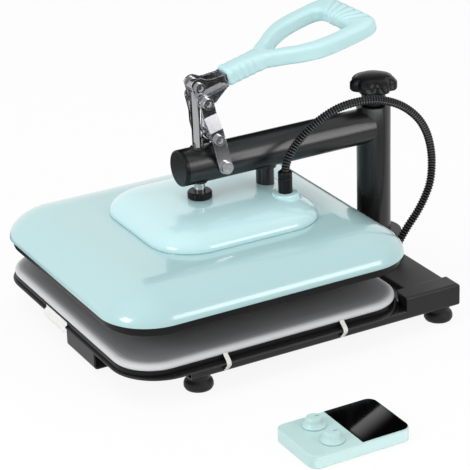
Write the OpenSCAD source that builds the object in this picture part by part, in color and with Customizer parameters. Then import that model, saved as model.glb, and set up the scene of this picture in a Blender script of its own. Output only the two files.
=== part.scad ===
// Swing-away heat press with a square pad, a domed head on a swinging arm,
// an over-centre lever, and a separate flat controller that lies beside it.
// Origin on the bench under the pad's centre: +X to the operator's right, -Y to the front, +Z up.

/* [Lower platen] */
// Side of the square pressing pad
pad_size = 380; // [370:5:390]
// Radius of the pad's corners in plan
pad_corner = 52; // [45:1:58]
// Thickness of the pad
pad_thick = 8; // [7:0.5:9]
// Height of the pad's top above the bench
pad_top = 52; // [51:1:56]
// Width of tray that shows beside the pad
tray_lip = 9; // [7:1:11]

/* [Base] */
// Diameter of the rubber feet
foot_d = 36; // [32:1:38]
// Width of each rail
rail_w = 30; // [28:1:32]
// Height of the rail tube
rail_h = 12.5; // [11:0.5:14]
// Wall of the rails
rail_wall = 2; // [1.5:0.5:2.5]

/* [Post and arm] */
// Distance from the pad's centre back to the post
post_y = 258; // [256:1:270]
// Outside diameter of the sleeve that turns on the post
sleeve_od = 44; // [43:1:46]
// Diameter of the fixed column inside the sleeve
column_d = 34; // [31:1:35]
// Outside diameter of the arm tube
arm_od = 46; // [44:1:47]
// Height of the arm's centre line above the bench
arm_z = 204; // [203:1:212]
// Diameter of the clamp knob
knob_d = 61; // [56:1:66]
// Number of finger notches round the clamp knob
knob_lobes = 7; // [5:1:9]

/* [Head] */
// Gap between the pad and the heat plate with the press open
open_gap = 34.5; // [33:0.5:36]
// Width of the head's shell
head_w = 381; // [376:1:388]
// Height of the shell's crown above its lower edge
shell_h = 36; // [33:1:37]
// Wall of the shell and of the raised cover
shell_wall = 3; // [2:0.5:4]
// Height of the raised cover above the shell
cover_h = 25; // [21:1:26]
// Diameter of the spindle
spindle_d = 14; // [12:1:14]
// Diameter of the guide rod
guide_d = 23; // [20:1:24]

/* [Lever] */
// Angle of the raised handle above level
handle_tilt = 14; // [11:1:17]
// Distance from the spindle's eye to the top pins of the links
crank = 18; // [17:0.5:19]
// Height of the spindle's eye above the arm's centre line
eye_rise = 102; // [100:1:106]
// Width of the two side links
link_w = 18; // [16:1:20]
// Length of the handle from the spindle's eye to its end
grip_len = 234; // [226:1:244]
// Width across the D-shaped grip
grip_w = 123; // [116:1:130]
// Thickness of the grip
grip_t = 20; // [18:1:22]

/* [Hose] */
// Diameter over the hose's ribs
hose_d = 11; // [10:0.5:11.5]
// Length of one rib
hose_pitch = 3.2; // [2.8:0.2:4]

/* [Controller] */
// Width of the controller
box_w = 85; // [80:1:90]
// Length of the controller, front to back
box_l = 130; // [124:1:140]
// Height of the controller
box_h = 17; // [15:1:20]
// Diameter of its two dials
dial_d = 28; // [24:1:30]

/* [Hidden] */
$fn = 64;

// Colours as photographed
mint = "#bfe3e2";
mint_light = "#c6eeec";
black = "#2c2c2e";
rubber = "#242426";
pad_grey = "#6a6b6d";
steel = "#b9bbbd";
dark_steel = "#77797c";
brass = "#b59a5c";
white = "#efefec";
glass = "#121316";

// Clearances
run_clear = 0.05;
pass_clear = 0.4;
bolt_clear = 0.2;
over = 1;

// Heights of the lower stack, from the pad down
platen_t = 6.5;
tray_t = 3.5;
platen_z = pad_top - pad_thick - platen_t;
tray_z = platen_z - tray_t;
rail_z = tray_z - rail_h;

// Plan of the tray
tray_r = pad_corner + 10;
tray_x = pad_size / 2 + tray_lip;
tray_y = pad_size / 2 + 3;

// Rails of square tube, tall behind the tray and low under it
rail_x = pad_size / 2 - 14;
rail_in = rail_x - rail_w / 2;
rail_out = rail_x + rail_w / 2;
rail_r = 4;
rail_front = -115;
rail_back = post_y + 4;
riser_front = tray_y - 9;
riser_top = tray_z + 17;
riser_gap = 1;
foot_x = rail_x - 4;
foot_front = rail_front + 18;
foot_back = rail_back - 19;
foot_collar_r = foot_d / 2 - 4;
foot_h = 14;
foot_bolt_r = 4;
tray_bolt_r = 3;
tray_bolt_y = 60;

// Elastic straps, white band and finger grip at the tray's edge
strap_y = [-70, 90];
strap_w = 6;
band_t = 1;
band_lie = 0.2 + band_t / 2;
tag_x = -51;
tag_w = 61;
tag_drop = 6;
hook_z = 7.8;
hook_x = 3;
hook_len = 77;
hook_depth = 38;
hook_t = 2;
hook_bend = 5;
hook_in = 4;

// Rear plate
rear_t = 4;
rear_top = riser_top - 3.5;
rear_front = tray_y + 4.5;
rear_back = rail_back - 1;
rear_fold = 5;
rear_drop = rail_z + 5;

// Post
flange_t = 8;
flange_bolt_r = 3;
flange_pitch_r = 29.5;
flange_edge = 6.5;
flange_turn = 22;
flange_r = flange_pitch_r + flange_edge;
washer_t = 1.5;
sleeve_wall = 3;
sleeve_id = sleeve_od - 2 * sleeve_wall;
sleeve_z = rear_top + flange_t + washer_t + run_clear;
sleeve_above = 4;
sleeve_top = arm_z + arm_od / 2 + sleeve_above;
bush_len = 25;
cap_t = 5;
column_top = sleeve_top - cap_t - 3;
stud_r = 5;
stud_depth = 32;

// Clamp knob
knob_z = sleeve_top + 0.5;
knob_neck_h = 16.5;
knob_rim_h = 11;
knob_dome_h = 12;
knob_turn = -28;

// Arm
arm_r = arm_od / 2;
arm_wall = 3;
arm_front = -25;
arm_cap_t = 5.5;

// Head, from the heat plate up
plate_z = pad_top + open_gap;
plate_t = 14.5;
plate_top = plate_z + plate_t;
shell_z = plate_top - 2;
shell_top = shell_z + shell_h;
cover_top = shell_top + cover_h;
shell_x = head_w / 2;
shell_front = -198;
shell_back = 210;
shell_r = 65;
plate_in = 4.5;
cover_x = 106;
cover_front = -93;
cover_back = 135;
cover_r = 58;
spindle_y = 3.4;
guide_y = 96.5;
gland_x = 48;
gland_y = 98;
gland_top = cover_top + 30;
boss_r = 17;
boss_rise = 2.5;
boss_drop = 10;
bridge_t = 6;
bridge_top = shell_top - shell_wall;
bridge_x = 40;
bridge_front = -30;
bridge_back = 130;
head_screw_x = bridge_x - 14;
head_screw_in = 15;
head_screw_r = 2.5;

// Lever: the spindle's eye, the link pins and the fixed link pivot on the arm
eye_z = arm_z + eye_rise;
eye_r = 9;
eye_pin_r = 4;
top_pin_y = spindle_y + crank * sin(handle_tilt);
top_pin_z = eye_z - crank * cos(handle_tilt);
pivot_y = 27;
pivot_r = 6;
link_t = 4;
link_len = norm([top_pin_y - pivot_y, top_pin_z - arm_z]);
link_lean = atan2(pivot_y - top_pin_y, top_pin_z - arm_z);
link_in = arm_r + 0.6;
link_step = 7;
tie_at = 38.4;
tie_r = 4;
spacer_r = 7;

// Bracket of folded plate, drawn in the handle's own frame with the eye at its origin
plate_in_x = spindle_d / 2 + pass_clear;
fold_t = 3;
ear_out = link_in - link_step - 0.3;
ear_set = 1.5;
shelf_v = -8.3;
sheet_t = 1.7;
seam = 0.8;
shelf_low = shelf_v - 2 * sheet_t - seam;
shelf_back = -9;
shelf_len = 31;
ear_len = 36;
bracket_len = 39;
bracket_end_x = plate_in_x + fold_t + 0.8;
bracket_end_top = 1.5;
grip_v = -5;
grip_bolt_r = 3;
grip_bolt_end = bracket_len + 31;

// Controller
box_x = 327;
box_y = -84;
box_r = 12;
box_wall = 3;
glass_in = 1.2;
glass_l = 64;
dial_y = 39;
dial_gap = 19.7;
dial_shaft_r = 3;
dial_h = 11;

// Hose route: straight up out of the head, over the arm behind the post, down through the rear plate
hose_route = [
    [48, 98, 150], [48, 98, 170], [48, 98, 189], [49, 103, 207], [50, 114, 223], [52, 131, 239],
    [53, 151, 251], [54, 173, 259], [55, 197, 262], [57, 221, 261], [58, 245, 254], [59, 267, 242],
    [61, 286, 224], [62, 298, 203], [63, 304, 180], [64, 305, 157], [66, 301, 135], [67, 292, 116],
    [68, 280, 99], [69, 267, 85], [70, 256, 72], [70, 249, 60], [70, 246, 48], [70, 246, 36]
];
hose_sides = 8;
hose_root = 0.9;
hose_bore_r = 3.2;
hose_bore_step = 6;

// Grip outline, as fractions of its half width and of its length: outer edge and inner edge of the bar
grip_outer = [
    [0, 0.367], [0.196, 0.375], [0.35, 0.418], [0.5, 0.471], [0.653, 0.518], [0.808, 0.576], [0.922, 0.635],
    [0.982, 0.716], [0.995, 0.81], [1, 0.904], [0.946, 0.964], [0.783, 0.994], [0.457, 1], [0, 1]
];
grip_inner = [
    [0, 0.452], [0.082, 0.458], [0.18, 0.478], [0.277, 0.516], [0.424, 0.561], [0.522, 0.61], [0.592, 0.661],
    [0.636, 0.725], [0.644, 0.793], [0.612, 0.84], [0.506, 0.864], [0.343, 0.868], [0.18, 0.864], [0, 0.868]
];
// Stub between the bracket and the ring: distance from the bracket, half width, half thickness
grip_stub_at = [[0, 13.5, 10], [3, 15.4, 11.6], [31, 15.6, 11.5], [51, 18, 10.6], [59, 15, 9]];
grip_steps = 3;
grip_sides = 14;
// Bluntness of the bar's and the stub's sections: 1 is an oval, less is squarer
bar_blunt = 0.5;
stub_blunt = 0.55;
// Finger flutes down the sides of the stub
flute_first = 5;
flute_pitch = 9.5;
flute_count = 4;
flute_deep = 0.9;

// Helpers

function unit(v) = v / norm(v);

// Points of a rounded edge: a quarter of a superellipse from the rim [w, 0] in to the crown [0, h]
function edge_curve(w, h, p, n) = [
    for (i = [0:n]) let (a = 90 * i / n) [w * pow(max(cos(a), 0), 2 / p), h * pow(sin(a), 2 / p)]
];
function raised(pts, z) = [for (p = pts) [p[0], p[1] + z]];
function backwards(pts) = [for (i = [len(pts) - 1:-1:0]) pts[i]];

// Closed outline of a thin strip along a bent line
function strip_normal(p, i) =
    let (d = unit(p[min(i + 1, len(p) - 1)] - p[max(i - 1, 0)])) [-d[1], d[0]];
function strip(p, h) = concat(
    [for (i = [0:len(p) - 1]) p[i] + h * strip_normal(p, i)],
    [for (i = [len(p) - 1:-1:0]) p[i] - h * strip_normal(p, i)]
);

// Smooth curve through four points, between the middle two
function between(a, b, c, d, t) =
    0.5 * (2 * b + (c - a) * t + (2 * a - 5 * b + 4 * c - d) * t * t + (3 * b - a - 3 * c + d) * t * t * t);
function on_loop(p, k) =
    let (m = len(p), i = floor(k), t = k - i)
    between(p[(i + m - 1) % m], p[i % m], p[(i + 1) % m], p[(i + 2) % m], t);
function on_line(p, k) =
    let (m = len(p) - 1, i = min(floor(k), m - 1), t = k - i)
    between(p[max(i - 1, 0)], p[i], p[i + 1], p[min(i + 2, m)], t);

// Extrusions of a drawing in the Y-Z plane along X, and of one in the X-Z plane along Y
module along_x(x, t) {
    translate([x, 0, 0]) rotate([90, 0, 90]) linear_extrude(t) children();
}
module along_y(y, t) {
    translate([0, y + t, 0]) rotate([90, 0, 0]) linear_extrude(t) children();
}
module bar_x(r, x0, x1) {
    translate([x0, 0, 0]) rotate([0, 90, 0]) cylinder(r = r, h = x1 - x0);
}
module both_sides() {
    children();
    mirror([1, 0, 0]) children();
}

// Flat rectangle with round corners between two front-to-back limits
module round_rect(hx, y0, y1, r) {
    translate([-hx + r, y0]) square([2 * (hx - r), y1 - y0]);
    translate([-hx, y0 + r]) square([2 * hx, y1 - y0 - 2 * r]);
    for (x = [-hx + r, hx - r], y = [y0 + r, y1 - r]) translate([x, y]) circle(r);
}

// Edge section carried round a rectangle with round corners, about the corner centres
module rim(hx, y0, y1, r, pts) {
    both_sides() {
        translate([hx - r, y1 - r, 0]) rotate_extrude(angle = 90) polygon(pts);
        translate([hx - r, y0 + r, 0]) rotate([0, 0, 270]) rotate_extrude(angle = 90) polygon(pts);
        translate([hx - r, y1 - r, 0]) rotate([90, 0, 0]) linear_extrude(y1 - y0 - 2 * r) polygon(pts);
    }
    translate([0, y1 - r, 0]) along_x(r - hx, 2 * (hx - r)) polygon(pts);
    translate([0, y0 + r, 0]) mirror([0, 1, 0]) along_x(r - hx, 2 * (hx - r)) polygon(pts);
}
module core(hx, y0, y1, r, z0, z1) {
    translate([r - hx, y0 + r, z0]) cube([2 * (hx - r), y1 - y0 - 2 * r, z1 - z0]);
}

// Pressed lid: a crowned rim with an even wall and a flat middle
module lid(hx, y0, y1, r, z, h, p, wall, n) {
    outer = raised(edge_curve(r, h, p, n), z);
    inner = raised(edge_curve(r - wall, h - wall, p, n), z);
    rim(hx, y0, y1, r, concat(outer, backwards(inner)));
    core(hx, y0, y1, r, z + h - wall, z + h);
}

// Solid slab with a section that gives its edge
module slab(hx, y0, y1, r, z0, z1, edge) {
    rim(hx, y0, y1, r, concat([[0, z0]], edge, [[0, z1]]));
    core(hx, y0, y1, r, z0, z1);
}

// Socket-head screw along +X from the face that its head sits on
module socket_screw(r, length, head_r, head_t) {
    bar_x(r, -length, 0);
    difference() {
        bar_x(head_r, 0, head_t);
        translate([head_t / 2, 0, 0]) rotate([0, 90, 0]) cylinder(r = head_r * 0.55, h = head_t, $fn = 6);
    }
}

// Base

module tube_section(h, in) {
    r = rail_r - in;
    x0 = rail_in + in;
    x1 = rail_out - in;
    z0 = rail_z + in;
    z1 = rail_z + h - in;
    translate([x0 + r, z0]) square([x1 - x0 - 2 * r, z1 - z0]);
    translate([x0, z0 + r]) square([x1 - x0, z1 - z0 - 2 * r]);
    for (x = [x0 + r, x1 - r], z = [z0 + r, z1 - r]) translate([x, z]) circle(r);
}
// Tall length of the rail, whose front wall follows the tray's round corner
module rail_tall(in) {
    front = riser_front + in;
    difference() {
        along_y(front, rail_back - in - front) tube_section(riser_top - rail_z, in);
        translate([tray_x - tray_r, tray_y - tray_r, tray_z - in])
            cylinder(r = tray_r + riser_gap + in, h = riser_top);
    }
}
module rail_body() {
    w = rail_wall;
    end_round = 3;
    end_in = 0.9;
    side = [
        [rail_front, rail_z], [rail_back - end_round, rail_z], [rail_back - end_in, rail_z + end_in],
        [rail_back, rail_z + end_round], [rail_back, riser_top - end_round],
        [rail_back - end_in, riser_top - end_in], [rail_back - end_round, riser_top], [rail_front, riser_top]
    ];
    difference() {
        intersection() {
            union() {
                along_y(rail_front, rail_back - rail_front) tube_section(rail_h, 0);
                rail_tall(0);
            }
            along_x(rail_in - over, rail_w + 2 * over) polygon(side);
        }
        along_y(rail_front - over, rail_back - rail_front - w + over) tube_section(rail_h, w);
        rail_tall(w);
        for (y = [foot_front, foot_back])
            translate([foot_x, y, rail_z - over]) cylinder(r = foot_bolt_r + bolt_clear, h = w + 2 * over);
        for (y = [-tray_bolt_y, tray_bolt_y]) {
            translate([rail_x, y, rail_z - over]) cylinder(r = 7, h = w + 2 * over);
            translate([rail_x, y, tray_z - w - over]) cylinder(r = tray_bolt_r + bolt_clear, h = w + 2 * over);
        }
    }
}
module rail_right() { color(black) rail_body(); }
module rail_left() { color(black) mirror([1, 0, 0]) rail_body(); }

module rear_plate() {
    depth = rear_back - rear_front;
    color(black) difference() {
        union() {
            along_x(-rail_in, 2 * rail_in) difference() {
                union() {
                    translate([rear_front, rear_drop]) square([depth, rear_top - rear_drop - rear_fold]);
                    translate([rear_front + rear_fold, rear_drop])
                        square([depth - 2 * rear_fold, rear_top - rear_drop]);
                    for (y = [rear_front + rear_fold, rear_back - rear_fold])
                        translate([y, rear_top - rear_fold]) circle(rear_fold);
                }
                translate([rear_front + rear_t, rear_drop - over])
                    square([depth - 2 * rear_t, rear_top - rear_t - rear_drop + over]);
            }
            translate([0, post_y, rear_top - rear_t]) cylinder(r = flange_r + 1, h = rear_t);
        }
        at_flange_bolts() translate([0, 0, rear_top - rear_t - over])
            cylinder(r = flange_bolt_r + bolt_clear, h = rear_t + 2 * over);
        translate([hose_end[0], hose_end[1], rear_top - rear_t - over])
            cylinder(r = grommet_r, h = rear_t + 2 * over);
    }
}
module at_flange_bolts() {
    for (a = [flange_turn:90:359])
        translate([flange_pitch_r * cos(a), post_y + flange_pitch_r * sin(a), 0]) children();
}
module at_feet() {
    for (x = [-foot_x, foot_x], y = [foot_front, foot_back]) translate([x, y, 0]) children();
}
module at_tray_bolts() {
    for (x = [-rail_x, rail_x], y = [-tray_bolt_y, tray_bolt_y]) translate([x, y, 0]) children();
}

module feet() {
    r = foot_d / 2;
    c = foot_collar_r;
    color(rubber) at_feet() rotate_extrude() polygon([
        [9, 0], [r - 4, 0], [r - 1.5, 1.2], [r, 4], [r, 7.5], [r - 1, 10.5], [c, foot_h], [c, rail_z],
        [foot_bolt_r + bolt_clear, rail_z], [foot_bolt_r + bolt_clear, 8], [9, 8]
    ]);
}
module foot_bolts() {
    nut_z = rail_z + rail_wall;
    color(dark_steel) at_feet() {
        translate([0, 0, 3]) cylinder(r = 7.5, h = 5, $fn = 6);
        translate([0, 0, 3]) cylinder(r = foot_bolt_r, h = nut_z + 1);
        translate([0, 0, nut_z]) cylinder(r = 7, h = 5, $fn = 6);
    }
}

module tray_plate() {
    z = tray_z;
    r = tray_r;
    edge = [[r - 2, z], [r - 0.5, z + 0.6], [r, z + 1.8], [r - 0.5, z + 2.9], [r - 2, z + tray_t]];
    color(black) difference() {
        slab(tray_x, -tray_y, tray_y, r, z, z + tray_t, edge);
        at_tray_bolts() translate([0, 0, z - over]) cylinder(r = tray_bolt_r + bolt_clear, h = tray_t + 2 * over);
    }
}
module lower_platen() {
    h = pad_size / 2;
    color(black) difference() {
        translate([0, 0, platen_z]) linear_extrude(platen_t) round_rect(h, -h, h, pad_corner);
        at_tray_bolts() translate([0, 0, platen_z - over]) cylinder(r = tray_bolt_r + run_clear, h = 4.5 + over);
    }
}
module tray_bolts() {
    color(dark_steel) at_tray_bolts() {
        translate([0, 0, tray_z - rail_wall - 4]) cylinder(r = 5, h = 4);
        translate([0, 0, tray_z - rail_wall]) cylinder(r = tray_bolt_r, h = rail_wall + tray_t + 4);
    }
}
module pad() {
    h = pad_size / 2;
    z = pad_top - pad_thick;
    r = pad_corner;
    round_edge = raised(edge_curve(5, pad_thick - 2.5, 2, 6), z + 2.5);
    edge = concat([[r - 2, z], [r, z + 1.2]], [for (p = round_edge) [p[0] + r - 5, p[1]]]);
    color(pad_grey) slab(h, -h, h, r, z, pad_top, edge);
}

// Elastic straps that run in one bow from the pad's edge over the tray's rim to the rails
module pad_straps() {
    bow = [
        [pad_size / 2 + band_lie, platen_z + 9], [pad_size / 2 + band_lie + 2, platen_z + 6.5],
        [tray_x - 1, platen_z + 2.5], [tray_x + band_lie + 0.4, tray_z + tray_t - 1],
        [tray_x + band_lie, tray_z - 0.5], [rail_out + 4, tray_z - 6], [rail_out + band_lie, rail_z + 3]
    ];
    line = [for (k = [0:0.25:len(bow) - 1]) on_line(bow, k)];
    color(white) both_sides() for (y = strap_y)
        along_y(y - strap_w / 2, strap_w) polygon(strip(line, band_t / 2));
}
module pad_tag() {
    line = [
        [-pad_size / 2 - band_lie, platen_z + 5], [-pad_size / 2 - band_lie, platen_z + 2],
        [-tray_y - band_lie, tray_z + tray_t], [-tray_y - band_lie, tray_z - tag_drop]
    ];
    color(white) along_x(tag_x, tag_w) polygon(strip(line, band_t / 2));
}

// Folded finger grip under the tray's front edge, open at both ends and towards the back
module front_grip() {
    y0 = hook_in - tray_y;
    h = tray_z - hook_z;
    bend_z = [hook_z + hook_bend, tray_z - hook_bend];
    color(black) along_x(hook_x, hook_len) difference() {
        union() {
            translate([y0 + hook_bend, hook_z]) square([hook_depth - hook_bend, h]);
            translate([y0, hook_z + hook_bend]) square([hook_depth, h - 2 * hook_bend]);
            for (z = bend_z) translate([y0 + hook_bend, z]) circle(hook_bend);
        }
        translate([y0 + hook_bend, hook_z + hook_t]) square([hook_depth, h - 2 * hook_t]);
        translate([y0 + hook_t, hook_z + hook_bend]) square([hook_depth, h - 2 * hook_bend]);
        for (z = bend_z) translate([y0 + hook_bend, z]) circle(hook_bend - hook_t);
    }
}

// Post: the column that stays, and the clamp that screws into its top

module post_column() {
    color(steel) difference() {
        translate([0, post_y, 0]) union() {
            translate([0, 0, rear_top]) cylinder(r = flange_r, h = flange_t);
            translate([0, 0, rear_top]) cylinder(r = column_d / 2, h = column_top - rear_top);
        }
        at_flange_bolts() translate([0, 0, rear_top - over])
            cylinder(r = flange_bolt_r + bolt_clear, h = flange_t + 2 * over);
        translate([0, post_y, column_top - stud_depth]) cylinder(r = stud_r + run_clear, h = stud_depth + over);
    }
}
module column_bolts() {
    z = rear_top + flange_t;
    color(dark_steel) at_flange_bolts() {
        translate([0, 0, z]) cylinder(r = 5, h = 4, $fn = 6);
        translate([0, 0, rear_top - rear_t - 4]) cylinder(r = flange_bolt_r, h = flange_t + rear_t + 5);
        translate([0, 0, rear_top - rear_t - 4]) cylinder(r = 5, h = 4, $fn = 6);
    }
}
module thrust_washer() {
    color(brass) translate([0, post_y, rear_top + flange_t]) difference() {
        cylinder(r = sleeve_od / 2, h = washer_t);
        translate([0, 0, -over]) cylinder(r = column_d / 2 + bolt_clear, h = washer_t + 2 * over);
    }
}
module hose_grommet() {
    color(rubber) translate([hose_end[0], hose_end[1], rear_top]) rotate_extrude() polygon([
        [hose_d / 2 + 0.5, -rear_t], [grommet_r - run_clear, -rear_t], [grommet_r - run_clear, 0],
        [grommet_r + 3, 0], [grommet_r + 3, 2], [grommet_r + 1, 4], [hose_d / 2 + 1.5, 4], [hose_d / 2 + 0.5, -1]
    ]);
}
module clamp_knob() {
    r = knob_d / 2;
    z1 = knob_neck_h;
    z2 = z1 + knob_rim_h;
    dome = raised(edge_curve(r - 2, knob_dome_h, 2, 10), z2);
    color(black) translate([0, post_y, knob_z]) rotate([0, 0, knob_turn]) difference() {
        rotate_extrude() polygon(concat(
            [[0, 0], [14, 0], [15.5, 1.5], [15.5, z1 - 2], [18, z1], [r - 2, z1], [r, z1 + 2], [r, z2 - 1]], dome
        ));
        for (i = [0:knob_lobes - 1]) rotate([0, 0, 360 * i / knob_lobes])
            translate([r + 4.5, 0, z1 - over]) cylinder(r = 9, h = knob_rim_h + knob_dome_h + 2 * over);
        translate([0, 0, -over]) cylinder(r = stud_r, h = z2 + over);
    }
}
module clamp_stud() {
    z = column_top - stud_depth + 2;
    color(steel) translate([0, post_y, z]) cylinder(r = stud_r, h = knob_z + knob_neck_h + knob_rim_h - z);
}

// Swinging arm

module post_sleeve() {
    color(black) translate([0, post_y, sleeve_z]) difference() {
        cylinder(r = sleeve_od / 2, h = sleeve_top - sleeve_z);
        translate([0, 0, -over]) cylinder(r = sleeve_id / 2, h = sleeve_top - sleeve_z + 2 * over);
    }
}
module sleeve_bushes() {
    color(brass) translate([0, post_y, 0]) for (z = [sleeve_z, column_top - bush_len])
        translate([0, 0, z]) difference() {
            cylinder(r = sleeve_id / 2, h = bush_len);
            translate([0, 0, -over]) cylinder(r = column_d / 2 + run_clear, h = bush_len + 2 * over);
        }
}
module sleeve_cap() {
    color(black) translate([0, post_y, sleeve_top - cap_t]) difference() {
        cylinder(r = sleeve_id / 2, h = cap_t);
        translate([0, 0, -over]) cylinder(r = stud_r + 3, h = cap_t + 2 * over);
    }
}
module arm_tube() {
    y0 = arm_front + arm_cap_t;
    y1 = post_y - sleeve_od * 0.21;
    color(black) difference() {
        translate([0, y1, arm_z]) rotate([90, 0, 0]) cylinder(r = arm_r, h = y1 - y0);
        translate([0, post_y, arm_z]) rotate([90, 0, 0]) cylinder(r = arm_r - arm_wall, h = post_y - y0 + over);
        translate([0, post_y, sleeve_z]) cylinder(r = sleeve_od / 2, h = sleeve_top - sleeve_z);
        translate([0, spindle_y, arm_z - arm_od]) cylinder(r = spindle_d / 2 + 3, h = 2 * arm_od);
        translate([0, guide_y, arm_z - arm_od]) cylinder(r = guide_d / 2 + 3, h = arm_od);
        translate([0, pivot_y, arm_z]) bar_x(pivot_r, -arm_od, arm_od);
    }
}
module arm_cap() {
    r = arm_r;
    fit = arm_r - arm_wall - run_clear;
    color(black) translate([0, arm_front, arm_z]) rotate([-90, 0, 0]) rotate_extrude() polygon([
        [0, 0], [r - 2, 0], [r - 0.6, 0.6], [r, 2], [r, arm_cap_t], [fit, arm_cap_t], [fit, 13], [fit - 3, 13],
        [fit - 3, arm_cap_t], [0, arm_cap_t]
    ]);
}
module spindle_bush() {
    color(brass) translate([0, spindle_y, arm_z - arm_r]) difference() {
        cylinder(r = spindle_d / 2 + 3, h = arm_od);
        translate([0, 0, -over]) cylinder(r = spindle_d / 2 + run_clear, h = arm_od + 2 * over);
    }
}
module guide_bush() {
    color(brass) translate([0, guide_y, arm_z - arm_r]) difference() {
        cylinder(r = guide_d / 2 + 3, h = 14);
        translate([0, 0, -over]) cylinder(r = guide_d / 2 + run_clear, h = 14 + 2 * over);
    }
}
module link_pivot_bolt() {
    x = link_in + link_t + 0.3;
    color(steel) translate([0, pivot_y, arm_z]) {
        translate([x, 0, 0]) socket_screw(pivot_r, 2 * x, 7.5, 5);
        mirror([1, 0, 0]) translate([x, 0, 0]) socket_screw(pivot_r, over, 7.5, 5);
    }
}

// Hose: ring alternately at the root and at the crest of each rib, along an even march on the route

hose_end = hose_route[len(hose_route) - 1];
grommet_r = hose_d / 2 + 2.5;
hose_fine = 12;
hose_marks = [for (k = [0:(len(hose_route) - 1) * hose_fine]) on_line(hose_route, k / hose_fine)];
function run_to(n, i = 1, d = 0) =
    i > n ? d : run_to(n, i + 1, d + norm(hose_marks[i] - hose_marks[i - 1]));
hose_table = [for (k = [0:len(hose_marks) - 1]) [run_to(k), k / hose_fine]];
hose_len = hose_table[len(hose_table) - 1][0];
hose_ribs = floor(hose_len / hose_pitch);
hose_rings = 2 * hose_ribs + 1;
function hose_point(s) = on_line(hose_route, lookup(s, hose_table));
function hose_dir(s) = unit(hose_point(min(s + 1, hose_len)) - hose_point(max(s - 1, 0)));
function hose_ring(s, r) =
    let (c = hose_point(s), d = hose_dir(s), a = unit([1, 0, 0] - d[0] * d), b = cross(d, a))
    [for (j = [0:hose_sides - 1]) c + r * (cos(360 * j / hose_sides) * a + sin(360 * j / hose_sides) * b)];

module hose() {
    m = hose_sides;
    n = hose_rings;
    inner_n = floor((n - 1) / hose_bore_step) + 1;
    skin = [for (k = [0:n - 1])
        each hose_ring(hose_len * k / (n - 1), hose_d / 2 - (k % 2 == 0 ? hose_root : 0))];
    bore = [for (k = [0:inner_n - 1]) each hose_ring(hose_len * k / (inner_n - 1), hose_bore_r)];
    b0 = m * n;
    last = m * (n - 1);
    blast = b0 + m * (inner_n - 1);
    faces = concat(
        [for (k = [0:n - 2], j = [0:m - 1]) let (a = m * k, q = (j + 1) % m) each
            [[a + j, a + m + j, a + m + q], [a + j, a + m + q, a + q]]],
        [for (k = [0:inner_n - 2], j = [0:m - 1]) let (a = b0 + m * k, q = (j + 1) % m) each
            [[a + j, a + m + q, a + m + j], [a + j, a + q, a + m + q]]],
        [for (j = [0:m - 1]) let (q = (j + 1) % m) each
            [[j, q, b0 + q], [j, b0 + q, b0 + j]]],
        [for (j = [0:m - 1]) let (q = (j + 1) % m) each
            [[last + j, blast + q, last + q], [last + j, blast + j, blast + q]]]
    );
    color(black) polyhedron(concat(skin, bore), faces, convexity = 10);
}

// Pressing head

module head_holes(z, h) {
    translate([0, spindle_y, z]) cylinder(r = spindle_d / 2 + pass_clear, h = h);
    translate([0, guide_y, z]) cylinder(r = guide_d / 2 + pass_clear, h = h);
}
module at_head_screws() {
    for (x = [-head_screw_x, head_screw_x], y = [bridge_front + head_screw_in, bridge_back - head_screw_in])
        translate([x, y, 0]) children();
}
module head_shell() {
    color(mint) difference() {
        lid(shell_x, shell_front, shell_back, shell_r, shell_z, shell_h, 1.75, shell_wall, 10);
        head_holes(shell_top - shell_wall - over, shell_wall + 2 * over);
        at_head_screws() translate([0, 0, shell_top - shell_wall - over])
            cylinder(r = head_screw_r + bolt_clear, h = shell_wall + 2 * over);
    }
}
module top_cover() {
    z = shell_top;
    r = cover_r;
    groove = 2;
    outer = raised(edge_curve(r, cover_h - groove, 2, 10), z + groove);
    inner = raised(edge_curve(r - shell_wall - groove, cover_h - shell_wall - groove, 2, 10), z + groove);
    section = concat(
        [[r - groove - shell_wall, z], [r - groove, z], [r - groove, z + groove]], outer, backwards(inner)
    );
    color(mint) difference() {
        union() {
            rim(cover_x, cover_front, cover_back, r, section);
            core(cover_x, cover_front, cover_back, r, cover_top - shell_wall, cover_top);
            translate([gland_x, gland_y, cover_top - boss_drop]) cylinder(r = boss_r, h = boss_drop + boss_rise);
        }
        head_holes(cover_top - boss_drop - over, boss_drop + 2 * over);
        translate([gland_x, gland_y, cover_top - boss_drop - over])
            cylinder(r = gland_r, h = boss_drop + boss_rise + 2 * over);
    }
}
gland_r = hose_d / 2 + 3.5;
module hose_gland() {
    z = cover_top - boss_drop;
    bore = hose_d / 2 + 0.5;
    color(black) translate([gland_x, gland_y, 0]) rotate_extrude() polygon([
        [bore, z], [gland_r - run_clear, z], [gland_r - run_clear, gland_top - 9], [gland_r - 1, gland_top - 8],
        [gland_r - run_clear, gland_top - 7], [gland_r - run_clear, gland_top - 1.5], [gland_r - 1.5, gland_top],
        [bore + 0.8, gland_top], [bore, gland_top - 7]
    ]);
}
module heat_plate() {
    z = plate_z;
    x = shell_x - plate_in;
    r = shell_r - plate_in;
    edge = [[r - 2, z], [r - 0.6, z + 0.6], [r, z + 2], [r, plate_top]];
    color(black) slab(x, shell_front + plate_in, shell_back - plate_in, r, z, plate_top, edge);
}
module pressure_bridge() {
    color(dark_steel) difference() {
        along_y(bridge_front, bridge_back - bridge_front) difference() {
            translate([-bridge_x, plate_top]) square([2 * bridge_x, bridge_top - plate_top]);
            translate([-bridge_x + bridge_t, plate_top - over])
                square([2 * (bridge_x - bridge_t), bridge_top - plate_top - bridge_t + over]);
        }
        translate([0, spindle_y, plate_top]) cylinder(r = spindle_d / 2, h = shell_h);
        translate([0, guide_y, plate_top]) cylinder(r = guide_d / 2, h = shell_h);
        at_head_screws() translate([0, 0, plate_top]) cylinder(r = head_screw_r, h = shell_h);
    }
}
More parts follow.
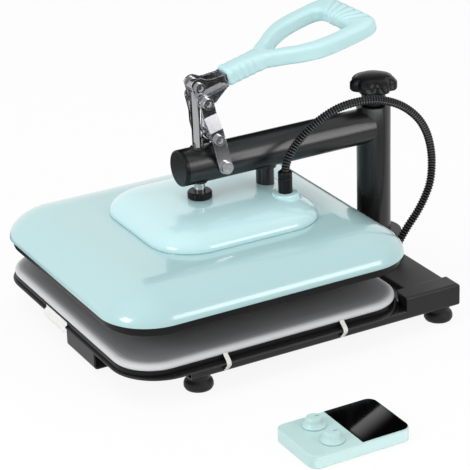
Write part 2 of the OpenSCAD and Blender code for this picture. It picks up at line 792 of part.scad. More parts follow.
module spindle() {
    z = bridge_top - bridge_t;
    color(steel) difference() {
        union() {
            translate([0, spindle_y, z]) cylinder(r = spindle_d / 2, h = eye_z - z);
            translate([0, spindle_y, eye_z]) bar_x(eye_r, -spindle_d / 2, spindle_d / 2);
        }
        translate([0, spindle_y, eye_z]) bar_x(eye_pin_r + run_clear, -spindle_d, spindle_d);
    }
}
module guide_rod() {
    z = bridge_top - bridge_t;
    top = arm_z + 13;
    color(black) translate([0, guide_y, z]) rotate_extrude() polygon([
        [0, 0], [guide_d / 2, 0], [guide_d / 2, top - z - 3], [guide_d / 2 - 3, top - z], [0, top - z]
    ]);
}
module head_screws() {
    color(dark_steel) at_head_screws() {
        translate([0, 0, bridge_top - bridge_t]) cylinder(r = head_screw_r, h = bridge_t + shell_wall);
        translate([0, 0, shell_top]) cylinder(r = head_screw_r + 2, h = 2.5);
    }
}
module pressure_collar() {
    grips = 24;
    r = 15.5;
    color(black) translate([0, spindle_y, cover_top + pass_clear]) difference() {
        rotate_extrude() polygon([
            [spindle_d / 2 + run_clear, 0], [r - 1, 0], [r, 1], [r, 7.5], [r - 1.5, 9], [spindle_d / 2 + run_clear, 9]
        ]);
        for (i = [0:grips - 1]) rotate([0, 0, 360 * i / grips])
            translate([r + 0.5, 0, -over]) cylinder(r = 1.1, h = 9 + 2 * over);
    }
}

// Lever linkage

module on_link() {
    translate([0, pivot_y, arm_z]) rotate([link_lean, 0, 0]) children();
}
module link_body() {
    r = link_w / 2;
    x0 = link_in;
    x1 = link_in - link_step;
    bend0 = 0.57 * link_len;
    bend1 = 0.79 * link_len;
    on_link() difference() {
        intersection() {
            along_y(-link_w, 2 * link_w) polygon([
                [x0, -link_w], [x0, bend0], [x1, bend1], [x1, link_len + link_w], [x1 + link_t, link_len + link_w],
                [x1 + link_t, bend1 + 1], [x0 + link_t, bend0 + 1], [x0 + link_t, -link_w]
            ]);
            along_x(0, link_in + 2 * link_t) union() {
                translate([-r, 0]) square([link_w, link_len]);
                circle(r);
                translate([0, link_len]) circle(r);
            }
        }
        bar_x(pivot_r + run_clear, 0, 2 * arm_od);
        translate([0, 0, tie_at]) bar_x(tie_r, 0, 2 * arm_od);
        translate([0, 0, link_len]) bar_x(tie_r, 0, 2 * arm_od);
    }
}
module link_right() { color(steel) link_body(); }
module link_left() { color(steel) mirror([1, 0, 0]) link_body(); }
module link_tie() {
    x = link_in + link_t;
    color(steel) on_link() translate([0, 0, tie_at]) {
        bar_x(spacer_r, -link_in, link_in);
        both_sides() translate([x, 0, 0]) socket_screw(tie_r, link_t + over, 6.5, 4.5);
    }
}
module link_top_bolts() {
    x = link_in - link_step + link_t;
    color(steel) on_link() translate([0, 0, link_len])
        both_sides() translate([x, 0, 0]) socket_screw(tie_r, link_t, 7, 5);
}

// Handle

module on_handle() {
    translate([0, spindle_y, eye_z]) rotate([handle_tilt, 0, 0]) children();
}
// Side plates folded out into a shelf, a second sheet under the shelf folded down into the ears
module handle_bracket() {
    x0 = plate_in_x;
    hump = 12;
    end = bracket_len - fold_t;
    side = [
        [0, hump], [5, hump - 1.1], [9, hump - 4], [13, hump - 6.8], [18, hump - 8.2], [26, hump - 9.2],
        [end + over, bracket_end_top - 0.4], [end + over, shelf_low], [shelf_back, shelf_low], [shelf_back, 0]
    ];
    ear = [
        [shelf_back, shelf_low + 1], [ear_len - 2, shelf_low + 1], [ear_len - 2, shelf_low - 1],
        [link_w * 0.8, -crank - 7], [0, -crank - link_w / 2], [-link_w / 2, -crank]
    ];
    color(steel) on_handle() difference() {
        union() {
            both_sides() {
                along_x(x0, fold_t) intersection() {
                    union() {
                        circle(hump);
                        polygon(side);
                    }
                    translate([shelf_back, shelf_low]) square([end - shelf_back + 0.1, hump - shelf_low]);
                }
                along_x(x0, ear_out - x0) {
                    translate([shelf_back, shelf_v - sheet_t]) square([shelf_len - shelf_back, sheet_t]);
                    translate([shelf_back, shelf_low]) square([ear_len - shelf_back, sheet_t]);
                }
                along_x(x0, ear_out - ear_set - x0) translate([shelf_back, shelf_low])
                    square([shelf_len - ear_set - shelf_back, shelf_v - shelf_low]);
                along_x(ear_out - ear_set - fold_t, fold_t) union() {
                    translate([0, -crank]) circle(link_w / 2);
                    polygon(ear);
                }
                translate([0, 0, -crank]) bar_x(link_w / 2 - 2, ear_out - fold_t, ear_out);
                along_x(0, bracket_end_x) translate([end, shelf_v])
                    square([fold_t, bracket_end_top - shelf_v]);
            }
            along_x(-x0 - over, 2 * (x0 + over)) translate([end, shelf_low])
                square([fold_t, bracket_end_top - shelf_low]);
        }
        bar_x(eye_pin_r, -arm_od, arm_od);
        translate([0, 0, -crank]) bar_x(tie_r + pass_clear, -arm_od, arm_od);
        grip_bolt_hole(bolt_clear);
    }
}
module grip_bolt_hole(clear) {
    translate([0, grip_bolt_end, grip_v]) rotate([90, 0, 0])
        cylinder(r = grip_bolt_r + clear, h = grip_bolt_end - bracket_len + fold_t + over);
}

// D-shaped grip: blunt oval sections that follow the two edges of its outline, closed into a ring
function blunt(v, e) = sign(v) * pow(abs(v), e);
function grip_edges(outline) =
    let (half = [for (p = outline) [p[0] * grip_w / 2, p[1] * grip_len]], n = len(half))
    concat(half, [for (i = [n - 2:-1:1]) [-half[i][0], half[i][1]]]);
module grip_ring() {
    outer = grip_edges(grip_outer);
    inner = grip_edges(grip_inner);
    n = len(outer) * grip_steps;
    m = grip_sides;
    points = [for (k = [0:n - 1])
        let (a = on_loop(outer, k / grip_steps), b = on_loop(inner, k / grip_steps), c = (a + b) / 2, d = (a - b) / 2)
        each [for (j = [0:m - 1]) let (t = 360 * j / m)
            let (across = blunt(cos(t), bar_blunt), up = blunt(sin(t), bar_blunt))
            [c[0] + d[0] * across, c[1] + d[1] * across, grip_v + grip_t / 2 * up]]];
    faces = [for (k = [0:n - 1], j = [0:m - 1]) let (a = m * k, b = m * ((k + 1) % n), q = (j + 1) % m) each
        [[a + j, a + q, b + q], [a + j, b + q, b + j]]];
    polyhedron(points, faces, convexity = 8);
}
// Stub: blunt rings between the bracket and the ring's crotch, drawn in at the flutes
stub_size = [for (k = [1, 2]) [for (p = grip_stub_at) [p[0], p[k]]]];
flute_end = flute_first + flute_count * flute_pitch;
stub_marks = concat(
    [0, 3], [for (i = [0:4 * flute_count]) flute_first + i * flute_pitch / 4], [51, 59]
);
function flute(s) = s < flute_first || s > flute_end ? 0
    : flute_deep * (1 - cos(360 * (s - flute_first) / flute_pitch)) / 2;
module grip_stub() {
    m = 2 * grip_sides;
    points = [for (s = stub_marks) each
        let (w = lookup(s, stub_size[0]) - flute(s), h = lookup(s, stub_size[1]) * grip_t / 20)
        [for (j = [0:m - 1]) let (t = 360 * j / m)
            [w * blunt(cos(t), stub_blunt), bracket_len + s, grip_v + h * blunt(sin(t), stub_blunt)]]];
    n = len(stub_marks);
    faces = concat(
        [for (k = [0:n - 2], j = [0:m - 1]) let (a = m * k, q = (j + 1) % m) each
            [[a + j, a + m + q, a + m + j], [a + j, a + q, a + m + q]]],
        [[for (j = [m - 1:-1:0]) j]],
        [[for (j = [0:m - 1]) m * (n - 1) + j]]
    );
    polyhedron(points, faces, convexity = 4);
}
module handle_grip() {
    color(mint_light) on_handle() difference() {
        union() {
            grip_ring();
            grip_stub();
        }
        grip_bolt_hole(run_clear, $fn = 24);
    }
}
module handle_pin() {
    x = plate_in_x + fold_t;
    color(steel) on_handle() {
        translate([x, 0, 0]) socket_screw(eye_pin_r, 2 * x, 6.5, 3.5);
        mirror([1, 0, 0]) translate([x, 0, 0]) socket_screw(eye_pin_r, over, 6.5, 3.5);
    }
}
module grip_bolt() {
    head_r = 5;
    head_t = 4;
    inside = bracket_len - fold_t;
    color(steel) on_handle() translate([0, 0, grip_v]) {
        translate([0, grip_bolt_end - over, 0]) rotate([90, 0, 0])
            cylinder(r = grip_bolt_r, h = grip_bolt_end - over - inside);
        translate([0, inside, 0]) rotate([90, 0, 0]) cylinder(r = head_r, h = head_t, $fn = 6);
    }
}

// Controller

module on_box() {
    translate([box_x + box_w / 2, box_y, 0]) children();
}
module at_dials() {
    for (x = [-dial_gap, dial_gap]) translate([x, dial_y, 0]) children();
}
module controller_base() {
    in = box_wall + 0.1;
    color(black) on_box() linear_extrude(2.5) round_rect(box_w / 2 - in, in, box_l - in, box_r - in);
}
module controller_case() {
    z = 0.8;
    r = box_r;
    w = box_wall;
    edge = [[r - w, z], [r - 0.6, z], [r, z + 0.6], [r, box_h - 1.6], [r - 0.5, box_h - 0.5], [r - 1.6, box_h]];
    section = concat(edge, [[0, box_h], [0, box_h - w], [r - w, box_h - w]]);
    color(mint) on_box() difference() {
        union() {
            rim(box_w / 2, 0, box_l, r, section);
            core(box_w / 2, 0, box_l, r, box_h - w, box_h);
        }
        translate([0, 0, box_h - glass_t]) linear_extrude(glass_t + over) glass_outline(0);
        at_dials() translate([0, 0, box_h - w - over])
            cylinder(r = dial_shaft_r + run_clear, h = w + 2 * over);
    }
}
glass_t = 1.8;
module glass_outline(fit) {
    in = glass_in + fit;
    intersection() {
        round_rect(box_w / 2 - in, in, box_l - in, box_r - in);
        translate([-box_w / 2, box_l - glass_in - glass_l + fit]) square([box_w, glass_l]);
    }
}
module controller_glass() {
    color(glass) on_box() translate([0, 0, box_h - glass_t]) linear_extrude(glass_t + 0.2) glass_outline(0.1);
}
module dial(x) {
    r = dial_d / 2;
    mark_w = 1.5;
    color(mint_light) on_box() translate([x, dial_y, 0]) {
        translate([0, 0, box_h - box_wall - 3]) cylinder(r = dial_shaft_r, h = box_wall + 4);
        translate([0, 0, box_h + pass_clear]) difference() {
            rotate_extrude() polygon([
                [0, 0], [r, 0], [r, 1], [r - 2, 2.2], [r - 3.6, 5], [r - 4.6, dial_h - 2],
                [r - 5.2, dial_h - 0.7], [r - 6.4, dial_h], [0, dial_h]
            ]);
            translate([-mark_w / 2, r - 13, dial_h - 0.6]) cube([mark_w, 5.5, 2]);
        }
    }
}
module controller_dial_left() { dial(-dial_gap); }
module controller_dial_right() { dial(dial_gap); }

rail_left();
rail_right();
rear_plate();
feet();
foot_bolts();
tray_plate();
lower_platen();
tray_bolts();
pad();
pad_straps();
pad_tag();
front_grip();
post_column();
column_bolts();
thrust_washer();
hose_grommet();
clamp_knob();
clamp_stud();
post_sleeve();
sleeve_bushes();
sleeve_cap();
arm_tube();
arm_cap();
spindle_bush();
guide_bush();
link_pivot_bolt();
hose();
head_shell();
top_cover();
heat_plate();
pressure_bridge();
spindle();
guide_rod();
hose_gland();
head_screws();
pressure_collar();
link_left();
link_right();
link_tie();
link_top_bolts();
handle_bracket();
handle_grip();
handle_pin();
grip_bolt();
controller_base();
controller_case();
controller_glass();
controller_dial_left();
controller_dial_right();
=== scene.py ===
"""Swing-away heat press with a mint-green head and lever, dressed over its packed construction model.

Every section is one piece or one group of like pieces, in the order in which the press goes together.
Lengths are metres: +X is the operator's right, -Y the front, +Z up, with the bench at z = 0.
"""

import math

import bmesh
import bpy
import numpy as np
from mathutils import Matrix


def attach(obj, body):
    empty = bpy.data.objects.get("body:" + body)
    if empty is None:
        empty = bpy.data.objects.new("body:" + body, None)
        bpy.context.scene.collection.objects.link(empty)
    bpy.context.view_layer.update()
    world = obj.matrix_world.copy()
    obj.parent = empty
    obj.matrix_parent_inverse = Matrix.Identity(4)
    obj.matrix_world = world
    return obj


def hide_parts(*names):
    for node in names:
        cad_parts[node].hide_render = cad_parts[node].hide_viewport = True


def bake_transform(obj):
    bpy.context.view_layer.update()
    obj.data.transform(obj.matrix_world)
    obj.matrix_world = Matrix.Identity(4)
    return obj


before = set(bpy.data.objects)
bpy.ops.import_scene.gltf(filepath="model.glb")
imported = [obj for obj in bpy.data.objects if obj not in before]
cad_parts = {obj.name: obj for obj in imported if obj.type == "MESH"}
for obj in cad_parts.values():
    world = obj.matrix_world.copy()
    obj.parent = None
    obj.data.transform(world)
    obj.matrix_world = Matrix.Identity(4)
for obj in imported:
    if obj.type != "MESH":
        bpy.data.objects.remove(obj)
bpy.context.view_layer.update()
scene = bpy.context.scene


# Camera: a long lens that looks down on the press from its front right corner, with a slight roll, so that
# the press nearly fills a square picture.
def unit(vector):
    """The same direction, or rows of directions, each divided by its own length."""
    return vector / np.linalg.norm(vector, axis=-1, keepdims=True)


def standing(right, up, back, place):
    """Matrix of something that looks along its own -Z: its three axes and its place are the columns."""
    return Matrix(np.column_stack([right, up, back, place]).tolist() + [[0, 0, 0, 1]])


eye = np.array([2.0754, -1.0634, 1.1327])
looks_at = np.array([-0.0138, 0.0582, 0.0904])
roll = math.radians(-1.963)
back = unit(eye - looks_at)
level = unit(np.cross([0.0, 0.0, 1.0], back))
upright = np.cross(back, level)
right = level * math.cos(roll) + upright * math.sin(roll)
up = upright * math.cos(roll) - level * math.sin(roll)
camera_data = bpy.data.cameras.new("camera")
camera_data.sensor_width = 36.0
camera_data.lens = 156.28
camera_data.clip_end = 60.0
camera = bpy.data.objects.new("camera", camera_data)
scene.collection.objects.link(camera)
camera.matrix_world = standing(right, up, back, eye)
scene.camera = camera
scene.view_settings.view_transform = "Standard"


# Studio: a pale sweep under soft lamps. The sweep and the room behind it read as white to the lens and
# in reflections, and the sweep still takes the soft shadow of the press.
def tint(red, green, blue):
    """Linear colour of a display colour given from 0 to 255: the sRGB curve undone on each channel."""
    c = np.array([red, green, blue]) / 255.0
    linear = np.where(c <= 0.04045, c / 12.92, ((c + 0.055) / 1.055) ** 2.4)
    return (*linear.tolist(), 1.0)


def add_node(tree, kind, at=(0, 0), **values):
    """One shader node with its named properties or inputs set."""
    node = tree.nodes.new(kind)
    node.location = at
    for key, value in values.items():
        if hasattr(node, key):
            setattr(node, key, value)
        else:
            node.inputs[key.replace("_", " ")].default_value = value
    return node


def seen_directly(tree):
    """1 for rays from the lens and for mirror or clear reflections of it, 0 for light that only falls on
    things: the greatest of the three ray tests."""
    path = add_node(tree, "ShaderNodeLightPath", (-900, 300))
    first = add_node(tree, "ShaderNodeMath", (-700, 300), operation="MAXIMUM")
    second = add_node(tree, "ShaderNodeMath", (-520, 300), operation="MAXIMUM")
    tree.links.new(path.outputs["Is Camera Ray"], first.inputs[0])
    tree.links.new(path.outputs["Is Glossy Ray"], first.inputs[1])
    tree.links.new(first.outputs[0], second.inputs[0])
    tree.links.new(path.outputs["Is Transmission Ray"], second.inputs[1])
    return second.outputs[0]


world = bpy.data.worlds.new("studio")
scene.world = world
world.use_nodes = True
sky = world.node_tree
room = sky.nodes["Background"]
room.inputs["Color"].default_value = (1.0, 1.0, 1.0, 1.0)
room_level = add_node(sky, "ShaderNodeMapRange", (-300, 200))
room_level.inputs["To Min"].default_value = 0.7
room_level.inputs["To Max"].default_value = 1.0
sky.links.new(seen_directly(sky), room_level.inputs["Value"])
sky.links.new(room_level.outputs[0], room.inputs["Strength"])

sweep_reach = 14.0
sweep_corners = np.array([[-1, -1, 0], [1, -1, 0], [1, 1, 0], [-1, 1, 0]]) * sweep_reach
sweep_mesh = bpy.data.meshes.new("sweep")
sweep_mesh.from_pydata(sweep_corners.tolist(), [], [(0, 1, 2, 3)])
sweep = bpy.data.objects.new("sweep", sweep_mesh)
scene.collection.objects.link(sweep)
sweep_finish = bpy.data.materials.new("pale_sweep")
sweep_finish.use_nodes = True
tree = sweep_finish.node_tree
tree.nodes.clear()
paper = add_node(tree, "ShaderNodeBsdfDiffuse", (-300, 0))
paper.inputs["Color"].default_value = (0.88, 0.88, 0.88, 1.0)
shine = add_node(tree, "ShaderNodeEmission", (-300, -200))
bright = add_node(tree, "ShaderNodeMath", (-320, 300), operation="MULTIPLY")
bright.inputs[1].default_value = 0.9
blend = add_node(tree, "ShaderNodeMixShader", (0, 0))
result = add_node(tree, "ShaderNodeOutputMaterial", (200, 0))
tree.links.new(seen_directly(tree), bright.inputs[0])
tree.links.new(bright.outputs[0], blend.inputs["Fac"])
tree.links.new(paper.outputs[0], blend.inputs[1])
tree.links.new(shine.outputs[0], blend.inputs[2])
tree.links.new(blend.outputs[0], result.inputs["Surface"])
sweep_mesh.materials.append(sweep_finish)

lamp_aim = np.array([0.0, 0.05, 0.1])
for lamp_name, place, size, watts, mirrored in [
    ("lamp_over", (-0.2, -0.9, 2.5), 1.8, 16.0, False),
    ("lamp_right", (2.15, 1.25, 1.35), 0.9, 13.0, True),
    ("lamp_front", (0.5, -2.5, 1.5), 0.9, 21.0, True),
]:
    lamp_data = bpy.data.lights.new(lamp_name, "AREA")
    lamp_data.size = size
    lamp_data.energy = watts
    lamp = bpy.data.objects.new(lamp_name, lamp_data)
    scene.collection.objects.link(lamp)
    lamp.visible_glossy = mirrored
    axis = unit(np.array(place) - lamp_aim)
    side = unit(np.cross([0.0, 1.0, 0.05], axis))
    lamp.matrix_world = standing(side, np.cross(axis, side), axis, place)


# Reflection cards: boards that only mirror-like surfaces see, as a photographer stands them round polished
# metal. Six black ones with a soft edge put dark bands into the chrome, the links and the top of the arm.
# Three that glow light the display window, the side of the arm and the side of the controller's case.
def card_finish(name, along, start, end, near, far):
    """Glow that goes from one strength to another along a direction, between two distances from the
    middle of the sweep measured that way. The back of the card is clear."""
    made = bpy.data.materials.new(name)
    made.use_nodes = True
    tree = made.node_tree
    tree.nodes.clear()
    place = add_node(tree, "ShaderNodeTexCoord", (-900, 0))
    run = add_node(tree, "ShaderNodeVectorMath", (-700, 0), operation="DOT_PRODUCT")
    run.inputs[1].default_value = along
    fall = add_node(tree, "ShaderNodeMapRange", (-500, 0), interpolation_type="SMOOTHSTEP")
    fall.inputs["From Min"].default_value = start
    fall.inputs["From Max"].default_value = end
    fall.inputs["To Min"].default_value = near
    fall.inputs["To Max"].default_value = far
    glow = add_node(tree, "ShaderNodeEmission", (-300, 0))
    clear = add_node(tree, "ShaderNodeBsdfTransparent", (-300, -200))
    facing = add_node(tree, "ShaderNodeNewGeometry", (-300, 200))
    front = add_node(tree, "ShaderNodeMixShader", (-100, 0))
    result = add_node(tree, "ShaderNodeOutputMaterial", (100, 0))
    tree.links.new(place.outputs["Object"], run.inputs[0])
    tree.links.new(run.outputs["Value"], fall.inputs["Value"])
    tree.links.new(fall.outputs[0], glow.inputs["Strength"])
    tree.links.new(facing.outputs["Backfacing"], front.inputs["Fac"])
    tree.links.new(glow.outputs[0], front.inputs[1])
    tree.links.new(clear.outputs[0], front.inputs[2])
    tree.links.new(front.outputs[0], result.inputs["Surface"])
    return made


def on_sweep(x0, x1, y0, y1):
    """Corners of a card that lies on the sweep, counted so that its front is up."""
    return [(x0, y0, 0.001), (x1, y0, 0.001), (x1, y1, 0.001), (x0, y1, 0.001)]


def facing_right(x, y0, y1, z0, z1):
    """Corners of a card that stands upright, counted so that its front is on the operator's right."""
    return [(x, y0, z0), (x, y1, z0), (x, y1, z1), (x, y0, z1)]


rightward, leftward, upward, window_slant = (1, 0, 0), (-1, 0, 0), (0, 0, 1), (0, 0.432, 0.902)
white, black = 1.0, 0.02
over_left = [(-1.9, 0.2, 1.6), (-0.9, 0.0, 2.5), (-0.5, 1.2, 2.5), (-1.4, 1.6, 1.6)]
by_window = [(0.25, 0.0635, 0.1028), (0.25, 0.108, 0.0815), (0.25, 0.148, 0.123), (0.25, 0.083, 0.123)]
by_arm = facing_right(0.1, 0.08, 0.32, 0.20, 0.245)[::-1]
for card_name, corners, glow_run in [
    ("card_right", on_sweep(0.41, 1.2, 0.12, 0.95), (rightward, 0.42, 0.55, white, black)),
    ("card_back", on_sweep(-1.0, -0.26, 0.42, 1.3), (leftward, 0.26, 0.34, white, black)),
    ("card_front", on_sweep(-0.75, -0.22, -0.65, -0.2), (leftward, 0.22, 0.30, white, black)),
    ("card_left", over_left, (upward, 1.6, 1.8, white, black)),
    ("card_arm", facing_right(-0.15, -0.05, 0.45, 0.30, 0.5), (upward, 0.30, 0.34, white, 0.1)),
    ("card_beside", facing_right(-0.06, -0.02, 0.25, 0.205, 0.31), (upward, 0.205, 0.235, white, black)),
    ("card_window", by_window, (window_slant, 0.1202, 0.150, 6.5, 0.0)),
    ("card_strip", by_arm, (upward, 0.20, 0.245, 6.0, 4.5)),
    ("card_bench", on_sweep(0.4125, 0.452, -0.09, 0.07), (rightward, 0.42, 0.45, 4.6, 4.6)),
]:
    card_mesh = bpy.data.meshes.new(card_name)
    card_mesh.from_pydata(corners, [], [(0, 1, 2, 3)])
    card_mesh.materials.append(card_finish(card_name + "_finish", *glow_run))
    card = bpy.data.objects.new(card_name, card_mesh)
    scene.collection.objects.link(card)
    card.visible_camera = False
    card.visible_diffuse = False
    card.visible_transmission = False
    card.visible_shadow = False


# Feet: four moulded rubber buttons, each screwed up into a rail by a hexagon bolt from below. The hose's
# grommet is of the same rubber, and the bolts of the tray and the head are zinc plated like the feet's.
def finish(
    name, dark, light, grain, rough, bump,
    metal=0.0, coat=0.0, stretch=(1, 1, 1), edge=0.0, broad=14.0, level=0.5,
):
    """Surface whose colour drifts between two tones with a broad noise, and whose roughness and bump follow
    a fine one, both read in the object's own coordinates. rough is the least and the greatest roughness, bump
    its strength and height, edge the radius that corners are shaded with, level the plain reflection."""
    made = bpy.data.materials.new(name)
    made.use_nodes = True
    tree = made.node_tree
    shader = tree.nodes["Principled BSDF"]
    shader.inputs["Metallic"].default_value = metal
    shader.inputs["Coat Weight"].default_value = coat
    shader.inputs["Coat Roughness"].default_value = 0.07
    shader.inputs["Specular IOR Level"].default_value = level
    place = add_node(tree, "ShaderNodeTexCoord", (-1300, 0))
    turn = add_node(tree, "ShaderNodeMapping", (-1100, 0), Scale=stretch)
    tree.links.new(place.outputs["Object"], turn.inputs["Vector"])
    fine = add_node(tree, "ShaderNodeTexNoise", (-850, -200), Scale=grain, Detail=4.0, Roughness=0.6)
    drift = add_node(tree, "ShaderNodeTexNoise", (-850, 200), Scale=broad, Detail=3.0, Roughness=0.55)
    tree.links.new(turn.outputs["Vector"], fine.inputs["Vector"])
    tree.links.new(place.outputs["Object"], drift.inputs["Vector"])
    tone = add_node(tree, "ShaderNodeMix", (-500, 250), data_type="RGBA")
    tone.inputs["A"].default_value = dark
    tone.inputs["B"].default_value = light
    tree.links.new(drift.outputs["Fac"], tone.inputs["Factor"])
    tree.links.new(tone.outputs["Result"], shader.inputs["Base Color"])
    gloss = add_node(tree, "ShaderNodeMapRange", (-500, 0))
    gloss.inputs["From Min"].default_value = 0.3
    gloss.inputs["From Max"].default_value = 0.7
    gloss.inputs["To Min"].default_value = rough[0]
    gloss.inputs["To Max"].default_value = rough[1]
    tree.links.new(fine.outputs["Fac"], gloss.inputs["Value"])
    tree.links.new(gloss.outputs[0], shader.inputs["Roughness"])
    relief = add_node(tree, "ShaderNodeBump", (-300, -250), Strength=bump[0], Distance=bump[1])
    tree.links.new(fine.outputs["Fac"], relief.inputs["Height"])
    tree.links.new(relief.outputs["Normal"], shader.inputs["Normal"])
    if edge > 0:
        soft_edge = add_node(tree, "ShaderNodeBevel", (-550, -350), samples=4, Radius=edge)
        tree.links.new(soft_edge.outputs["Normal"], relief.inputs["Normal"])
    return made


def dress(material, *nodes):
    """Gives construction solids their finish."""
    for name in nodes:
        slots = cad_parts[name].data.materials
        slots.clear()
        slots.append(material)


foot_rubber = finish(
    "foot_rubber", tint(17, 17, 18), tint(27, 27, 28),
    grain=700.0, rough=(0.42, 0.58), bump=(0.25, 0.0003), level=0.3,
)
dress(foot_rubber, "feet", "hose_grommet")
zinc = finish(
    "bright_zinc", tint(192, 193, 195), tint(212, 213, 215),
    grain=500.0, rough=(0.14, 0.22), bump=(0.02, 0.0001), metal=1.0, edge=0.0004,
)
dress(zinc, "foot_bolts", "tray_bolts", "head_screws")


# Base: two rail tubes, a folded rear plate that ties their raised ends together, the tray they carry and a
# folded finger grip under its front edge, all welded sheet steel with a satin black powder coat.
powder_coat = finish(
    "black_powder_coat", tint(19, 19, 20), tint(26, 26, 27),
    grain=1300.0, rough=(0.34, 0.46), bump=(0.16, 0.00025), edge=0.0009, level=0.35,
)
dress(powder_coat, "rail_left", "rail_right", "rear_plate", "tray_plate", "front_grip")


# Platens: the cast plate that is bolted to the tray under the pad, and the heated plate that hangs in the
# head. Both are aluminium with a black non-stick coat.
non_stick = finish(
    "non_stick_coat", tint(11, 11, 12), tint(17, 17, 18),
    grain=1800.0, rough=(0.3, 0.42), bump=(0.1, 0.0002), edge=0.0008, level=0.2,
)
dress(non_stick, "lower_platen", "heat_plate")


# Pad: a sheet of soft silicone foam with a rolled edge, lying loose on the lower platen under its elastic
# straps.
# Its grey skin is painted pale where the foam rolls over at the edge and darker across the top: painted light
# on the lit edge and painted shade under the head.
def loft(name, material, *skins, crease=38.0):
    """Closed skins over rings of points, each an array of rings x points x 3: a quad joins two neighbouring
    points of one ring to the same two of the next, and the first and the last ring are filled flat."""
    points, faces, start = [], [], 0
    for skin in skins:
        n, m = skin.shape[:2]
        i, j = np.meshgrid(np.arange(n - 1), np.arange(m), indexing="ij")
        k = (j + 1) % m
        quads = start + np.stack([i * m + j, i * m + k, (i + 1) * m + k, (i + 1) * m + j], axis=-1)
        first = start + np.arange(m)[::-1]
        last = start + (n - 1) * m + np.arange(m)
        points.append(skin.reshape(-1, 3))
        faces += quads.reshape(-1, 4).tolist() + [first.tolist(), last.tolist()]
        start += n * m
    mesh = bpy.data.meshes.new(name)
    mesh.from_pydata(np.concatenate(points).tolist(), [], faces)
    work = bmesh.new()
    work.from_mesh(mesh)
    bmesh.ops.recalc_face_normals(work, faces=work.faces)
    work.to_mesh(mesh)
    work.free()
    mesh.shade_smooth()
    mesh.set_sharp_from_angle(angle=math.radians(crease))
    mesh.materials.append(material)
    piece = bpy.data.objects.new(name, mesh)
    scene.collection.objects.link(piece)
    return piece


def toned_by(made, attribute, colour, steps):
    """Lays a second colour over a finish where a value kept on the mesh asks for it: each step pairs a value
    from 0 to 1 with how much of that colour shows there."""
    tree = made.node_tree
    shader = tree.nodes["Principled BSDF"]
    under = shader.inputs["Base Color"].links[0].from_socket
    kept = add_node(tree, "ShaderNodeAttribute", (-1100, 500), attribute_name=attribute)
    share = add_node(tree, "ShaderNodeValToRGB", (-850, 550))
    share.color_ramp.interpolation = "EASE"
    stops = share.color_ramp.elements
    for stop, (value, amount) in zip(list(stops), [steps[0], steps[-1]]):
        stop.position = value
        stop.color = (amount, amount, amount, 1.0)
    for value, amount in steps[1:-1]:
        stops.new(value).color = (amount, amount, amount, 1.0)
    over = add_node(tree, "ShaderNodeMix", (-250, 400), data_type="RGBA")
    over.inputs["B"].default_value = colour
    tree.links.new(kept.outputs["Fac"], share.inputs["Fac"])
    tree.links.new(share.outputs["Color"], over.inputs["Factor"])
    tree.links.new(under, over.inputs["A"])
    tree.links.new(over.outputs["Result"], shader.inputs["Base Color"])


def keep_value(piece, attribute, values):
    """Keeps one number for each point of a piece under a name that its finish reads."""
    kept = piece.data.attributes.new(attribute, "FLOAT", "POINT")
    kept.data.foreach_set("value", np.ascontiguousarray(values, np.float32).ravel())


def level_rings(half_wide, front, rear, corner, radius, height, steps=14):
    """Rings round a rectangle with round corners: each corner's centre stays, its arc has the ring's own
    radius, and the straight sides are what joins one arc to the next."""
    quarter = np.linspace(0.0, math.pi / 2, steps + 1)
    turn = np.concatenate([quarter + k * math.pi / 2 for k in range(4)])[None]
    right, left = half_wide - corner, corner - half_wide
    cx = np.repeat([right, left, left, right], steps + 1)[None]
    cy = np.repeat([rear - corner, rear - corner, front + corner, front + corner], steps + 1)[None]
    rho = np.asarray(radius, float)[:, None]
    z = np.broadcast_to(np.asarray(height, float)[:, None], (len(rho), turn.shape[1]))
    return np.stack([cx + rho * np.cos(turn), cy + rho * np.sin(turn), z], axis=-1)


def rolled(width, height, power, steps):
    """Quarter of a superellipse from its rim in to its crown: how far out and how high each point is."""
    a = np.linspace(0.0, math.pi / 2, steps + 1)
    return width * np.cos(a).clip(0) ** (2 / power), height * np.sin(a) ** (2 / power)


pad_half, pad_corner, pad_low, pad_top = 0.190, 0.052, 0.044, 0.052
roll_width, roll_height, hem = 0.006, 0.0058, 0.0006
roll_in, roll_up = rolled(roll_width, roll_height, 2.1, 12)
inward = np.linspace(pad_corner - roll_width, 0.004, 18)[1:]
under_radius = [0.004, 0.02, pad_corner - 0.002, pad_corner - hem]
under_height = [pad_low, pad_low, pad_low, pad_low + hem]
pad_radius = np.concatenate([under_radius, pad_corner - roll_width + roll_in, inward])
pad_height = np.concatenate([under_height, pad_top - roll_height + roll_up, np.full(len(inward), pad_top)])
pad_skin = level_rings(pad_half, -pad_half, pad_half, pad_corner, pad_radius, pad_height)
foam = finish(
    "silicone_foam", tint(118, 119, 121), tint(132, 133, 135),
    grain=1500.0, rough=(0.55, 0.75), bump=(0.35, 0.0004), level=0.35,
)
foam.node_tree.nodes["Principled BSDF"].inputs["Sheen Weight"].default_value = 0.15
# Painted light and shade: a pale grey laid over the rolled edge, fading into the darker grey of the shaded
# top.
toned_by(
    foam, "inset", tint(208, 209, 211),
    [(0.0, 1.0), (0.12, 0.85), (0.2, 0.35), (0.32, 0.08), (0.7, 0.02), (1.0, 0.0)],
)
pad = loft("foam_pad", foam, pad_skin, crease=60.0)
# Distance in from the edge, on a scale of 0 at the rim to 1 at 40 mm, which the painted light of the pale
# edge fades along.
fade_width = 0.040
pad_painted_light_fade = ((pad_corner - pad_radius) / fade_width).clip(0, 1)
keep_value(pad, "inset", np.broadcast_to(pad_painted_light_fade[:, None], pad_skin.shape[:2]))
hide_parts("pad")
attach(pad, "base")


